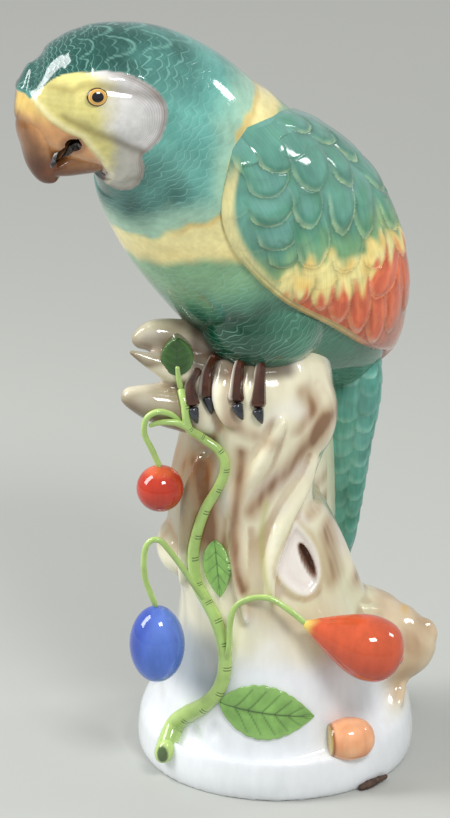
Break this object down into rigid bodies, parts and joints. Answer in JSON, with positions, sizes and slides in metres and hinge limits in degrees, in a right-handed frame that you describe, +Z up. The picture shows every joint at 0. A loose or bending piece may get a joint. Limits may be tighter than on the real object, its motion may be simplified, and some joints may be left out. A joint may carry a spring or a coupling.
{
  "type": "parrot figurine",
  "caption": "Glazed porcelain parrot perched on a tree stump with a fruiting vine, cast as one piece on a round mound base.",
  "frame": {"origin": "centre of the round foot on the flat underside of the base", "axes": "+Z up from the base through the parrot's head; the head and beak point to -X and the tail hangs on the +X side at the back (+Y)"},
  "size_m": [0.2051, 0.1631, 0.3894],
  "materials": {
    "painted_porcelain": "glossy hand-painted glaze"
  },
  "bodies": {
    "root": {"parrot_figurine": "painted_porcelain"}
  },
  "joints": []
}
